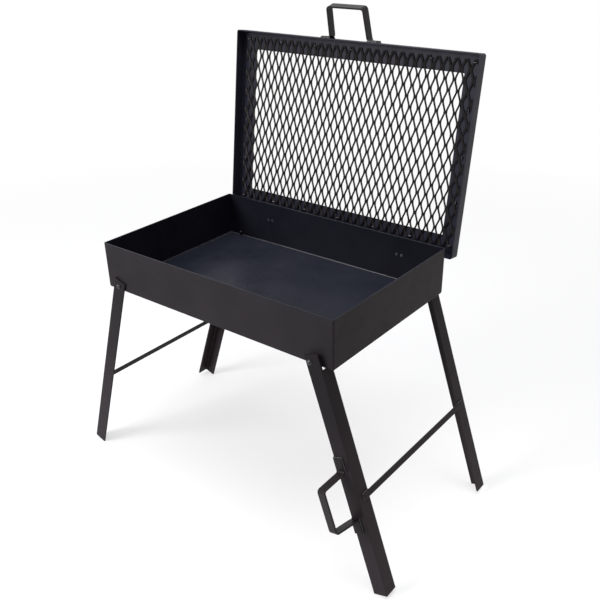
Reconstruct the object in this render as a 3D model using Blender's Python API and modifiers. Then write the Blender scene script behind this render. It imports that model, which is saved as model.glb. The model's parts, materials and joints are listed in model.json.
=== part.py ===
"""Portable folding grill.

A shallow steel tray stands on two pairs of angle legs that fold in under it. A lid that frames a panel
of expanded metal is hinged to the back of the tray. It is modelled standing open, leaning on its stops.
Sizes are in metres. The front is -Y, the left end is -X, and the origin is on the ground.
"""
import math

import bmesh
import bpy
from mathutils import Matrix, Vector

MM = 0.001

# Clearance between pieces that touch, and round a pin in its hole
GAP = 0.3 * MM

# Tray: a folded box of sheet steel, open at the top
TRAY_LENGTH = 484 * MM
TRAY_WIDTH = 318 * MM
TRAY_HEIGHT = 82 * MM
TRAY_SHEET = 2 * MM
TRAY_CORNER = 3 * MM
TRAY_BEND = 2.5 * MM
GROUND_TO_TRAY = 375 * MM

# Lid: a shallow cover with an opening in its plate, and the play between its skirt and the tray's walls
LID_SHEET = 2 * MM
LID_DEPTH = 22 * MM
LID_PLAY_ENDS = 4 * MM
LID_PLAY_FRONT_AND_REAR = 3 * MM
LID_CORNER = 4 * MM
LID_BEND = 3 * MM
LID_BORDER_ENDS = 33 * MM
LID_BORDER_FRONT_AND_REAR = 32.5 * MM
LID_OPEN_ANGLE = math.radians(97.26)

# Mesh: expanded metal with diamond cells, and its play inside the tray's walls when the lid is shut
MESH_THICKNESS = 2 * MM
MESH_STRAND = 2.1 * MM
MESH_CELL_ACROSS = 16.69 * MM
MESH_CELL_ALONG = 34.55 * MM
MESH_EDGE = 1.5 * MM
MESH_PLAY = 3 * MM
MESH_SWING_GAP = 0.5 * MM
MESH_SMALLEST_CELL = 40 * MM * MM

# Legs: equal angle, with the pivot's distance from each pair's outer faces
LEG_FLANGE = 25 * MM
LEG_THICKNESS = 3 * MM
LEG_OUTER_ROUND = 0.8 * MM
LEG_ROOT_ROUND = 2.5 * MM
LEG_TOP = 12 * MM
LEG_SPLAY = math.radians(18.9)
LEFT_PIVOT_INSET = 29.5 * MM
RIGHT_PIVOT_INSET = 35.98 * MM
PIVOT_TO_LEFT_FACE = 12 * MM
PIVOT_TO_RIGHT_FACE = 18.7 * MM
FOLD_GAP = 0.5 * MM
NEST_GAP = 1.2 * MM

# Braces: flat bars across the outer faces of the legs
BRACE_WIDTH = 10 * MM
BRACE_THICKNESS = 3 * MM
BRACE_LAP = 14 * MM
LEFT_BRACE_DROP = 240 * MM
RIGHT_BRACE_DROP = 227.98 * MM

# Pivot bolts, nuts and the spacers of the right legs
BOLT_RADIUS = 2 * MM
BOLT_HEAD_RADIUS = 4.75 * MM
BOLT_HEAD_HEIGHT = 2.75 * MM
BOLT_END = 1.5 * MM
NUT_WIDTH = 7 * MM
NUT_HEIGHT = 3.2 * MM
SPACER_RADIUS = 5 * MM
SPACER_LENGTH = 5.3 * MM

# Handles: bent straps with feet that turn outwards, and arms that lean over to one side
HANDLE_WIDTH = 15 * MM
HANDLE_THICKNESS = 3 * MM
HANDLE_BEND = 5 * MM
LID_HANDLE_BASE = 80 * MM
LID_HANDLE_GRIP = 75 * MM
LID_HANDLE_REACH = 57 * MM
LID_HANDLE_FOOT = 18 * MM
LID_HANDLE_LEAN = math.radians(21)
LEG_HANDLE_BASE = 85 * MM
LEG_HANDLE_GRIP = 76 * MM
LEG_HANDLE_REACH = 50 * MM
LEG_HANDLE_FOOT = 25 * MM
LEG_HANDLE_LEAN = math.radians(7)
LEG_HANDLE_DROP = 221.98 * MM
LEG_HANDLE_OFFSET = 1.2 * MM

# Hinges behind the tray
LEFT_HINGE_INSET = 107 * MM
RIGHT_HINGE_INSET = 87 * MM
HINGE_WIDTH = 32 * MM
HINGE_LEAF = 1.5 * MM
HINGE_KNUCKLE_RADIUS = 3 * MM
HINGE_MIDDLE_KNUCKLE = 12 * MM
HINGE_PIN_RADIUS = 1.4 * MM
HINGE_PIN_HEAD_RADIUS = 2.4 * MM
HINGE_PIN_HEAD_HEIGHT = 0.8 * MM
HINGE_BELOW_SKIRT = 2.6 * MM
HINGE_BEHIND_LEAF = 0.2 * MM
TRAY_LEAF_HEIGHT = 17 * MM
LID_LEAF_HEIGHT = 20 * MM
TRAY_RIVET_DROP = 7.5 * MM
LID_RIVET_RISE = 13.5 * MM
RIVET_SPACING = 10 * MM
RIVET_RADIUS = 1.6 * MM
RIVET_HEAD_RADIUS = 2.6 * MM
RIVET_HEAD_HEIGHT = 1.2 * MM

# Lid stops: plates on edge, welded to the rear wall beside the hinges
STOP_THICKNESS = 3 * MM
STOP_FROM_HINGE = 30 * MM
STOP_HEIGHT = 26 * MM
STOP_NOSE = 4 * MM
STOP_SHORT_OF_PLATE = 2 * MM

# Segments in a full circle, in the arc of a rounded corner and down a domed head
ROUND_SEGMENTS = 12
CORNER_STEPS = 4
DOME_STEPS = 2
WELD_DISTANCE = 0.01 * MM
SMOOTH_BELOW = math.radians(35)

# Where the main surfaces lie, measured from the middle of the tray's underside
FRONT_WALL = -TRAY_WIDTH / 2
REAR_WALL = TRAY_WIDTH / 2
LID_LENGTH = TRAY_LENGTH + 2 * (LID_PLAY_ENDS + LID_SHEET)
LID_WIDTH = TRAY_WIDTH + 2 * (LID_PLAY_FRONT_AND_REAR + LID_SHEET)
LID_TOP = TRAY_HEIGHT + GAP + LID_SHEET
SKIRT_BOTTOM = LID_TOP - LID_DEPTH
LID_LEAF_OUTER = LID_WIDTH / 2 + GAP + HINGE_LEAF
HINGE_Y = LID_LEAF_OUTER + HINGE_BEHIND_LEAF
HINGE_Z = SKIRT_BOTTOM - HINGE_BELOW_SKIRT - HINGE_KNUCKLE_RADIUS
MESH_TOP = LID_TOP - LID_SHEET - GAP
LEFT_PIVOT_X = LEFT_PIVOT_INSET - TRAY_LENGTH / 2
RIGHT_PIVOT_X = TRAY_LENGTH / 2 - RIGHT_PIVOT_INSET
LEFT_PIVOT_Z = PIVOT_TO_LEFT_FACE - LEG_THICKNESS - FOLD_GAP
LEFT_FOLDED_DEPTH = FOLD_GAP + LEG_THICKNESS + GAP + BRACE_THICKNESS
RIGHT_PIVOT_Z = PIVOT_TO_RIGHT_FACE - LEG_THICKNESS - LEFT_FOLDED_DEPTH - NEST_GAP
LEFT_LEG_STANDOFF = GAP
RIGHT_LEG_STANDOFF = SPACER_LENGTH + 2 * GAP

# Linear colours, roughness and metallic value of the painted and plated surfaces
TRAY_PAINT = ((0.020, 0.020, 0.024), 0.55, 0.0)
LID_PAINT = ((0.016, 0.016, 0.020), 0.50, 0.0)
MESH_PAINT = ((0.012, 0.010, 0.011), 0.60, 0.0)
LEG_PAINT = ((0.030, 0.026, 0.029), 0.50, 0.0)
HANDLE_PAINT = ((0.012, 0.012, 0.014), 0.40, 0.0)
BOLT_FINISH = ((0.045, 0.043, 0.043), 0.45, 0.6)
HINGE_FINISH = ((0.030, 0.030, 0.032), 0.50, 0.3)


def make_collection(name):
    """A new collection in the scene."""
    made = bpy.data.collections.new(name)
    bpy.context.scene.collection.children.link(made)
    return made


def make_empty(name, location, parent=None, turn=(0, 0, 0)):
    """An axis or origin that carries the pieces of one moving group."""
    empty = bpy.data.objects.new(name, None)
    parts.objects.link(empty)
    empty.location = location
    empty.rotation_euler = turn
    empty.parent = parent
    return empty


def add_part(name, mesh, carrier, location, finish, turn=(0, 0, 0)):
    """A named piece on its carrier, placed by its position in the tray's frame before the carrier turns."""
    part = bpy.data.objects.new(name, mesh)
    parts.objects.link(part)
    part.parent = carrier
    part.location = Vector(location) - Vector(carrier.location)
    part.rotation_euler = turn
    colour, roughness, metallic = finish
    material = bpy.data.materials.new(name)
    material.use_nodes = True
    shader = material.node_tree.nodes["Principled BSDF"]
    shader.inputs["Base Color"].default_value = (*colour, 1)
    shader.inputs["Roughness"].default_value = roughness
    shader.inputs["Metallic"].default_value = metallic
    mesh.materials.append(material)
    return part


def finish_mesh(bm, name):
    """A mesh with outward faces from a bmesh, which is freed. Its round surfaces are shaded smooth."""
    bmesh.ops.recalc_face_normals(bm, faces=bm.faces)
    mesh = bpy.data.meshes.new(name)
    bm.to_mesh(mesh)
    bm.free()
    mesh.shade_smooth()
    mesh.set_sharp_from_angle(angle=SMOOTH_BELOW)
    return mesh


def baked_mesh(name, helper):
    """The welded mesh of a helper object as its modifiers or its curve make it. The helper is removed."""
    cutters.objects.link(helper)
    filled = bpy.data.meshes.new_from_object(helper.evaluated_get(bpy.context.evaluated_depsgraph_get()))
    bpy.data.objects.remove(helper)
    bm = bmesh.new()
    bm.from_mesh(filled)
    bpy.data.meshes.remove(filled)
    bmesh.ops.remove_doubles(bm, verts=bm.verts, dist=WELD_DISTANCE)
    return finish_mesh(bm, name)


def box_mesh(name, low, high):
    """A box between two corners."""
    low = Vector(low)
    high = Vector(high)
    bm = bmesh.new()
    bmesh.ops.create_cube(bm, size=1)
    bmesh.ops.scale(bm, vec=high - low, verts=bm.verts)
    bmesh.ops.translate(bm, vec=(low + high) / 2, verts=bm.verts)
    return finish_mesh(bm, name)


def rods_mesh(name, centres, radius, length, axis):
    """Equal round rods, centred on the given points, along one axis."""
    bm = bmesh.new()
    for centre in centres:
        turn = Vector((0, 0, 1)).rotation_difference(Vector(axis)).to_matrix().to_4x4()
        place = Matrix.Translation(centre) @ turn
        bmesh.ops.create_cone(bm, cap_ends=True, segments=ROUND_SEGMENTS, radius1=radius,
                              radius2=radius, depth=length, matrix=place)
    return finish_mesh(bm, name)


def cut(part, name, mesh):
    """Cuts the mesh out of the part. It is given in the part's own frame."""
    cutter = bpy.data.objects.new(name, mesh)
    cutters.objects.link(cutter)
    cutter.parent = part
    cutter.hide_render = True
    cutter.display_type = "WIRE"
    boolean = part.modifiers.new(name, "BOOLEAN")
    boolean.object = cutter
    boolean.operation = "DIFFERENCE"
    boolean.solver = "EXACT"


def plate_mesh(name, outlines, thickness):
    """A flat plate centred on the XY plane: the first outline is its edge, the others are its holes."""
    curve = bpy.data.curves.new(name, "CURVE")
    curve.dimensions = "2D"
    curve.fill_mode = "BOTH"
    curve.extrude = thickness / 2
    for outline in outlines:
        spline = curve.splines.new("POLY")
        spline.points.add(len(outline) - 1)
        for point, (x, y) in zip(spline.points, outline):
            point.co = (x, y, 0, 1)
        spline.use_cyclic_u = True
    return baked_mesh(name, bpy.data.objects.new(name, curve))


def turned_mesh(name, profile, ring=False):
    """A piece turned about Z. The profile runs down its outer side; a ring's comes back up inside."""
    count = len(profile)
    edges = [(index, index + 1) for index in range(count - 1)]
    if ring:
        edges.append((count - 1, 0))
    line = bpy.data.meshes.new(name)
    line.from_pydata([(radius, 0, height) for radius, height in profile], edges, [])
    helper = bpy.data.objects.new(name, line)
    screw = helper.modifiers.new("turned", "SCREW")
    screw.axis = "Z"
    screw.steps = ROUND_SEGMENTS
    screw.render_steps = ROUND_SEGMENTS
    screw.use_merge_vertices = True
    screw.merge_threshold = WELD_DISTANCE
    return baked_mesh(name, helper)


def dome_profile(radius, height, base):
    """Points down a low dome from its top on the axis to its rim at the base height."""
    sphere = (radius * radius + height * height) / (2 * height)
    half_angle = math.asin(min(1, radius / sphere))
    angles = [half_angle * step / DOME_STEPS for step in range(DOME_STEPS + 1)]
    return [(sphere * math.sin(angle), base + height - sphere * (1 - math.cos(angle))) for angle in angles]


def arc(centre, radius, start, end, steps):
    """Points along an arc of a circle from one angle to another."""
    angles = [start + (end - start) * step / steps for step in range(steps + 1)]
    return [(centre[0] + radius * math.cos(angle), centre[1] + radius * math.sin(angle)) for angle in angles]


def circle(centre, radius):
    """Points round a full circle."""
    return arc(centre, radius, 0, 2 * math.pi, ROUND_SEGMENTS)[:-1]


def rounded_outline(corners):
    """A closed outline through corners given as x, y and radius."""
    outline = []
    for index, (x, y, radius) in enumerate(corners):
        corner = Vector((x, y))
        if radius == 0:
            outline.append(corner)
            continue
        back = (Vector(corners[index - 1][:2]) - corner).normalized()
        ahead = (Vector(corners[(index + 1) % len(corners)][:2]) - corner).normalized()
        half = back.angle(ahead) / 2
        centre = corner + (back + ahead).normalized() * radius / math.sin(half)
        first = corner + back * radius / math.tan(half) - centre
        last = corner + ahead * radius / math.tan(half) - centre
        turn = math.atan2(first.x * last.y - first.y * last.x, first.dot(last))
        start = math.atan2(first.y, first.x)
        outline += arc(centre, radius, start, start + turn, CORNER_STEPS)
    return outline


def strap_outline(points, thickness, bend):
    """The edge view of a bent strap whose middle line follows the points, with round bends."""
    left = []
    right = []

    def add_station(point, normal):
        left.append(point + normal * thickness / 2)
        right.append(point - normal * thickness / 2)

    def left_of(direction):
        return Vector((-direction.y, direction.x))

    points = [Vector(point) for point in points]
    add_station(points[0], left_of((points[1] - points[0]).normalized()))
    for before, corner, after in zip(points, points[1:], points[2:]):
        arriving = (corner - before).normalized()
        leaving = (after - corner).normalized()
        turn = math.atan2(arriving.x * leaving.y - arriving.y * leaving.x, arriving.dot(leaving))
        inner_side = math.copysign(bend, turn)
        centre = corner - arriving * bend * math.tan(abs(turn) / 2) + left_of(arriving) * inner_side
        for step in range(CORNER_STEPS + 1):
            normal = left_of(arriving)
            normal.rotate(Matrix.Rotation(turn * step / CORNER_STEPS, 2))
            add_station(centre - normal * inner_side, normal)
    add_station(points[-1], left_of((points[-1] - points[-2]).normalized()))
    return left + right[::-1]


def folded_box(name, length, width, height, corner, bend, sheet):
    """A box of folded sheet without a top, with round corners and a round bend along its floor."""
    outer = []
    inner = []
    for side, surface in ((outer, 0), (inner, sheet)):
        radius = bend - surface
        for inset, rise in arc((bend, bend), radius, -math.pi / 2, -math.pi, CORNER_STEPS // 2):
            side.append((inset, rise))
        side.append((surface, height))
    bm = bmesh.new()
    rings = []
    for inset, rise in outer + inner[::-1]:
        x = length / 2 - inset
        y = width / 2 - inset
        radius = corner - inset
        corners = [(x, y, radius), (-x, y, radius), (-x, -y, radius), (x, -y, radius)]
        rings.append([bm.verts.new((*point, rise)) for point in rounded_outline(corners)])
    for lower, upper in zip(rings, rings[1:]):
        for index, vert in enumerate(lower):
            bm.faces.new((lower[index - 1], vert, upper[index], upper[index - 1]))
    bm.faces.new(rings[0])
    bm.faces.new(rings[-1])
    return finish_mesh(bm, name)


def when_open(y, z):
    """Where a point of the shut lid goes when the lid stands open, as y and z."""
    turned = Matrix.Rotation(-LID_OPEN_ANGLE, 2) @ Vector((y - HINGE_Y, z - HINGE_Z))
    return turned.x + HINGE_Y, turned.y + HINGE_Z


def hinge_centres():
    """The middle of each hinge along the tray, by side."""
    return {"left": LEFT_HINGE_INSET - TRAY_LENGTH / 2, "right": TRAY_LENGTH / 2 - RIGHT_HINGE_INSET}


def rivet_places(height):
    """The middle line of every rivet at one height, as points on the rear side."""
    return [(centre + offset, REAR_WALL, height)
            for centre in hinge_centres().values()
            for offset in (-RIVET_SPACING / 2, RIVET_SPACING / 2)]


def build_tray():
    """The tray, with holes for the pivot bolts and for the hinges' rivets."""
    mesh = folded_box("tray", TRAY_LENGTH, TRAY_WIDTH, TRAY_HEIGHT, TRAY_CORNER, TRAY_BEND, TRAY_SHEET)
    tray = add_part("tray", mesh, base, (0, 0, 0), TRAY_PAINT)
    pivots = [(place, wall, height)
              for place, height in ((LEFT_PIVOT_X, LEFT_PIVOT_Z), (RIGHT_PIVOT_X, RIGHT_PIVOT_Z))
              for wall in (FRONT_WALL, REAR_WALL)]
    depth = 4 * TRAY_SHEET
    cut(tray, "tray_bolt_holes", rods_mesh("tray_bolt_holes", pivots, BOLT_RADIUS + GAP, depth, (0, 1, 0)))
    rivets = rivet_places(HINGE_Z - TRAY_RIVET_DROP)
    cut(tray, "tray_rivet_holes", rods_mesh("tray_rivet_holes", rivets, RIVET_RADIUS + GAP, depth, (0, 1, 0)))


def build_lid_frame():
    """The lid's plate and skirt in one folded sheet, with the large opening and the rivet holes."""
    mesh = folded_box("lid_frame", LID_LENGTH, LID_WIDTH, LID_DEPTH, LID_CORNER, LID_BEND, LID_SHEET)
    mesh.transform(Matrix.Rotation(math.pi, 4, "X"))
    frame = add_part("lid_frame", mesh, lid_axis, (0, 0, LID_TOP), LID_PAINT)
    half_length = LID_LENGTH / 2 - LID_BORDER_ENDS
    half_width = LID_WIDTH / 2 - LID_BORDER_FRONT_AND_REAR
    opening = box_mesh("lid_opening", (-half_length, -half_width, -2 * LID_SHEET),
                       (half_length, half_width, LID_SHEET))
    cut(frame, "lid_opening", opening)
    rivets = [(x, LID_WIDTH / 2, HINGE_Z + LID_RIVET_RISE - LID_TOP) for x, _, _ in rivet_places(0)]
    cut(frame, "lid_rivet_holes", rods_mesh("lid_rivet_holes", rivets, RIVET_RADIUS + GAP,
                                            4 * LID_SHEET, (0, 1, 0)))


def clipped(outline, axis, limit, keep):
    """The part of a convex outline on one side of a line. keep is 1 for the high side and -1 for the low."""
    kept = []
    for point, following in zip(outline, outline[1:] + outline[:1]):
        inside = keep * (point[axis] - limit)
        next_inside = keep * (following[axis] - limit)
        if inside >= 0:
            kept.append(point)
        if inside * next_inside < 0:
            kept.append(point.lerp(following, inside / (inside - next_inside)))
    return kept


def area(outline):
    """The area inside a closed outline."""
    pairs = zip(outline, outline[1:] + outline[:1])
    return abs(sum(point.x * following.y - point.y * following.x for point, following in pairs)) / 2


def mesh_cells(low, high):
    """The diamond cells that reach into the lid's opening, in staggered rows, inside the panel's edge."""
    half_across = MESH_CELL_ACROSS / 2
    half_along = MESH_CELL_ALONG / 2
    to_strand = half_across * half_along / math.hypot(half_across, half_along)
    open_share = 1 - MESH_STRAND / 2 / to_strand
    opening_x = LID_LENGTH / 2 - LID_BORDER_ENDS
    opening_y = LID_WIDTH / 2 - LID_BORDER_FRONT_AND_REAR
    rows = math.floor(opening_y / half_along + open_share)
    columns = math.floor(opening_x / half_across + open_share)
    cells = []
    for row in range(-rows, rows + 1):
        for column in range(-columns, columns + 1):
            if (row + column) % 2 == 1:
                continue
            middle = Vector((column * half_across, row * half_along))
            reach_x = Vector((half_across * open_share, 0))
            reach_y = Vector((0, half_along * open_share))
            cell = [middle - reach_x, middle - reach_y, middle + reach_x, middle + reach_y]
            for axis in (0, 1):
                cell = clipped(cell, axis, low[axis] + MESH_EDGE, 1) if cell else cell
                cell = clipped(cell, axis, high[axis] - MESH_EDGE, -1) if cell else cell
            if len(cell) > 2 and area(cell) > MESH_SMALLEST_CELL:
                cells.append(cell)
    return cells


def build_lid_mesh():
    """The panel of expanded metal under the lid's plate. Its rear edge clears the rim as the lid turns."""
    rim_radius = math.hypot(HINGE_Y - REAR_WALL + TRAY_SHEET, TRAY_HEIGHT - HINGE_Z) + MESH_SWING_GAP
    underside_rise = MESH_TOP - MESH_THICKNESS - HINGE_Z
    rear_edge = HINGE_Y - math.sqrt(rim_radius ** 2 - underside_rise ** 2)
    half_length = TRAY_LENGTH / 2 - TRAY_SHEET - MESH_PLAY
    low = Vector((-half_length, FRONT_WALL + TRAY_SHEET + MESH_PLAY))
    high = Vector((half_length, rear_edge))
    edge = [low, Vector((high.x, low.y)), high, Vector((low.x, high.y))]
    mesh = plate_mesh("lid_mesh", [edge] + mesh_cells(low, high), MESH_THICKNESS)
    add_part("lid_mesh", mesh, lid_axis, (0, 0, MESH_TOP - MESH_THICKNESS / 2), MESH_PAINT)


def handle_mesh(name, base_width, grip_width, reach, foot, lean):
    """A handle with flat feet on the line y = 0. It reaches out towards +Y and leans over towards +Z."""
    middle = HANDLE_THICKNESS / 2
    base_arm = base_width / 2 - middle
    grip_arm = grip_width / 2 - middle
    half = [(base_arm + foot, middle), (base_arm, middle), (grip_arm, reach - middle)]
    mirrored = [(-x, y) for x, y in reversed(half)]
    mesh = plate_mesh(name, [strap_outline(half + mirrored, HANDLE_THICKNESS, HANDLE_BEND)], HANDLE_WIDTH)
    for vertex in mesh.vertices:
        above_foot = max(0, vertex.co.y - HANDLE_THICKNESS)
        turn = Matrix.Rotation(lean * min(1, above_foot / HANDLE_BEND), 3, "X")
        foot_level = Vector((0, vertex.co.y - above_foot, 0))
        vertex.co = foot_level + turn @ (vertex.co - foot_level)
    return mesh


def build_lid_handle():
    """The handle on the middle of the lid's front skirt."""
    place = (0, -LID_WIDTH / 2 - GAP, LID_TOP - LID_DEPTH / 2)
    mesh = handle_mesh("lid_handle", LID_HANDLE_BASE, LID_HANDLE_GRIP, LID_HANDLE_REACH, LID_HANDLE_FOOT,
                       LID_HANDLE_LEAN)
    add_part("lid_handle", mesh, lid_axis, place, HANDLE_PAINT, (math.pi, 0, 0))


def leg_length(pivot_height, pivot_to_face):
    """From the pivot down to the square-cut foot, so that the foot's inner edge meets the ground."""
    inner_edge = LEG_FLANGE - pivot_to_face
    return (GROUND_TO_TRAY + pivot_height - inner_edge * math.sin(LEG_SPLAY)) / math.cos(LEG_SPLAY)


def build_leg(name, carrier, side, end, pivot_to_face, standoff, pivot_height):
    """One angle leg. side is -1 at the left and 1 at the right, end is -1 at the front and 1 at the rear."""
    length = leg_length(pivot_height, pivot_to_face)
    face = side * pivot_to_face
    inner_face = side * (pivot_to_face - LEG_THICKNESS)
    toe = side * (pivot_to_face - LEG_FLANGE)
    outside = end * LEG_THICKNESS
    deep = end * (LEG_THICKNESS - LEG_FLANGE)
    corners = [(face, outside, LEG_OUTER_ROUND), (toe, outside, 0), (toe, 0, LEG_OUTER_ROUND),
               (inner_face, 0, LEG_ROOT_ROUND), (inner_face, deep, LEG_OUTER_ROUND), (face, deep, 0)]
    mesh = plate_mesh(name, [rounded_outline(corners)], length + LEG_TOP)
    mesh.transform(Matrix.Translation((0, 0, (LEG_TOP - length) / 2)))
    wall = end * (TRAY_WIDTH / 2 + standoff)
    pivot = carrier.location
    leg = add_part(name, mesh, carrier, (pivot.x, wall, pivot.z), LEG_PAINT)
    # The side flange starts where its outer top edge meets the tray's underside, which stops the splay
    stop = (pivot_height + pivot_to_face * math.sin(LEG_SPLAY) + GAP) / math.cos(LEG_SPLAY)
    beyond_face = face + side * LEG_THICKNESS
    past_root = inner_face - side * LEG_ROOT_ROUND
    near = min(beyond_face, past_root)
    far = max(beyond_face, past_root)
    past_toe = -end * LEG_FLANGE
    relief = box_mesh(name + "_relief", (near, min(0, past_toe), -stop), (far, max(0, past_toe), 2 * LEG_TOP))
    cut(leg, name + "_relief", relief)
    hole = rods_mesh(name + "_hole", [(0, outside / 2, 0)], BOLT_RADIUS + GAP, 4 * LEG_THICKNESS, (0, 1, 0))
    cut(leg, name + "_hole", hole)


def build_brace(name, carrier, side, drop, pivot_to_face, standoff):
    """The flat bar on the outer faces of a pair's side flanges."""
    reach = TRAY_WIDTH / 2 + standoff + LEG_THICKNESS - LEG_FLANGE + BRACE_LAP
    inner = side * (pivot_to_face + GAP)
    outer = side * (pivot_to_face + GAP + BRACE_THICKNESS)
    mesh = box_mesh(name, (min(inner, outer), -reach, -drop - BRACE_WIDTH / 2),
                    (max(inner, outer), reach, -drop + BRACE_WIDTH / 2))
    add_part(name, mesh, carrier, (carrier.location.x, 0, carrier.location.z), LEG_PAINT)


def build_leg_handle():
    """The handle on the front flange of the front right leg."""
    pivot = right_axis.location
    face = FRONT_WALL - RIGHT_LEG_STANDOFF - LEG_THICKNESS - GAP
    place = (pivot.x + LEG_HANDLE_OFFSET, face, pivot.z - LEG_HANDLE_DROP)
    mesh = handle_mesh("leg_handle", LEG_HANDLE_BASE, LEG_HANDLE_GRIP, LEG_HANDLE_REACH, LEG_HANDLE_FOOT,
                       LEG_HANDLE_LEAN)
    turn = Matrix(((0, 0, -1), (0, -1, 0), (-1, 0, 0))).to_euler()
    add_part("leg_handle", mesh, right_axis, place, HANDLE_PAINT, turn)


def build_pivot(end_name, side_name, carrier, end, standoff):
    """The bolt through one leg and the tray's wall, its nut inside, and a spacer where the leg stands off."""
    name = end_name + "_" + side_name
    turn = (-end * math.pi / 2, 0, 0)
    wall = end * TRAY_WIDTH / 2
    place = Vector((carrier.location.x, wall, carrier.location.z))
    head = standoff + LEG_THICKNESS + GAP
    nut_outer = -TRAY_SHEET - GAP
    tip = nut_outer - NUT_HEIGHT - BOLT_END
    profile = dome_profile(BOLT_HEAD_RADIUS, BOLT_HEAD_HEIGHT, head)
    profile += [(BOLT_RADIUS, head), (BOLT_RADIUS, tip), (0, tip)]
    add_part(name + "_bolt", turned_mesh(name + "_bolt", profile), base, place, BOLT_FINISH, turn)
    hexagon = [(NUT_WIDTH / math.sqrt(3) * math.cos(angle), NUT_WIDTH / math.sqrt(3) * math.sin(angle))
               for angle in (math.pi / 3 * corner for corner in range(6))]
    nut = plate_mesh(name + "_nut", [hexagon, circle((0, 0), BOLT_RADIUS + GAP)], NUT_HEIGHT)
    middle = wall + end * (nut_outer - NUT_HEIGHT / 2)
    add_part(name + "_nut", nut, base, (place.x, middle, place.z), BOLT_FINISH, turn)
    if standoff > SPACER_LENGTH:
        top = GAP + SPACER_LENGTH
        inside = BOLT_RADIUS + GAP
        ring = [(SPACER_RADIUS, top), (SPACER_RADIUS, GAP), (inside, GAP), (inside, top)]
        spacer = turned_mesh(name + "_spacer", ring, ring=True)
        add_part(name + "_spacer", spacer, base, place, BOLT_FINISH, turn)


def side_plate(name, outlines, width):
    """A plate whose outlines are given as y and z, with its width along X."""
    mesh = plate_mesh(name, outlines, width)
    mesh.transform(Matrix(((0, 0, 1, 0), (1, 0, 0, 0), (0, 1, 0, 0), (0, 0, 0, 1))))
    return mesh


def build_tray_leaf(side, centre):
    """The leaf on the rear wall. It turns out level at its top and ends in the two outer knuckles."""
    inner = REAR_WALL + GAP - HINGE_Y
    outer = inner + HINGE_LEAF
    half = HINGE_LEAF / 2
    meet = math.asin(half / HINGE_KNUCKLE_RADIUS)
    knuckle = arc((0, 0), HINGE_KNUCKLE_RADIUS, math.pi + meet, 3 * math.pi - meet, ROUND_SEGMENTS - 1)
    outline = [(outer, -TRAY_LEAF_HEIGHT), (outer, -half)] + knuckle
    outline += [(inner, half), (inner, -TRAY_LEAF_HEIGHT)]
    name = side + "_tray_leaf"
    mesh = side_plate(name, [outline, circle((0, 0), HINGE_PIN_RADIUS + GAP)], HINGE_WIDTH)
    leaf = add_part(name, mesh, base, (centre, HINGE_Y, HINGE_Z), HINGE_FINISH)
    middle = rods_mesh(name + "_notch", [(0, 0, 0)], HINGE_KNUCKLE_RADIUS + GAP,
                       HINGE_MIDDLE_KNUCKLE + 2 * GAP, (1, 0, 0))
    cut(leaf, name + "_notch", middle)
    rivets = [(offset, inner, -TRAY_RIVET_DROP) for offset in (-RIVET_SPACING / 2, RIVET_SPACING / 2)]
    holes = rods_mesh(name + "_holes", rivets, RIVET_RADIUS + GAP, 4 * HINGE_LEAF, (0, 1, 0))
    cut(leaf, name + "_holes", holes)


def build_lid_leaf(side, centre):
    """The leaf on the lid's rear skirt. It runs down into the middle knuckle."""
    outer = -HINGE_BEHIND_LEAF
    inner = outer - HINGE_LEAF
    start = math.acos(outer / HINGE_KNUCKLE_RADIUS)
    end = math.acos(inner / HINGE_KNUCKLE_RADIUS) - 2 * math.pi
    knuckle = arc((0, 0), HINGE_KNUCKLE_RADIUS, start, end, ROUND_SEGMENTS - 1)
    outline = [(outer, LID_LEAF_HEIGHT)] + knuckle + [(inner, LID_LEAF_HEIGHT)]
    name = side + "_lid_leaf"
    mesh = side_plate(name, [outline, circle((0, 0), HINGE_PIN_RADIUS + GAP)], HINGE_WIDTH)
    leaf = add_part(name, mesh, lid_axis, (centre, HINGE_Y, HINGE_Z), HINGE_FINISH)
    cut_length = HINGE_WIDTH - HINGE_MIDDLE_KNUCKLE
    ends = [(sign * (HINGE_MIDDLE_KNUCKLE + cut_length) / 2, 0, 0) for sign in (-1, 1)]
    cut(leaf, name + "_notches", rods_mesh(name + "_notches", ends, HINGE_KNUCKLE_RADIUS + GAP, cut_length,
                                           (1, 0, 0)))
    rivets = [(offset, inner, LID_RIVET_RISE) for offset in (-RIVET_SPACING / 2, RIVET_SPACING / 2)]
    holes = rods_mesh(name + "_holes", rivets, RIVET_RADIUS + GAP, 4 * HINGE_LEAF, (0, 1, 0))
    cut(leaf, name + "_holes", holes)


def build_hinge_pin(side, centre):
    """The pin through the three knuckles, with a head at each end."""
    end = HINGE_WIDTH / 2 + GAP
    tip = end + HINGE_PIN_HEAD_HEIGHT
    half = [(0, tip), (HINGE_PIN_HEAD_RADIUS, tip), (HINGE_PIN_HEAD_RADIUS, end), (HINGE_PIN_RADIUS, end)]
    profile = half + [(radius, -height) for radius, height in reversed(half)]
    name = side + "_hinge_pin"
    place = (centre, HINGE_Y, HINGE_Z)
    add_part(name, turned_mesh(name, profile), base, place, HINGE_FINISH, (0, math.pi / 2, 0))


def build_rivet(name, carrier, place, grip):
    """A rivet that lies along Y. Its domed head is outside, and its flat tail is inside the sheet."""
    profile = dome_profile(RIVET_HEAD_RADIUS, RIVET_HEAD_HEIGHT, GAP)
    tail = -grip - GAP
    end = tail - RIVET_HEAD_HEIGHT / 2
    profile += [(RIVET_RADIUS, GAP), (RIVET_RADIUS, tail)]
    profile += [(RIVET_HEAD_RADIUS, tail), (RIVET_HEAD_RADIUS, end), (0, end)]
    add_part(name, turned_mesh(name, profile), carrier, place, HINGE_FINISH, (-math.pi / 2, 0, 0))


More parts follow.
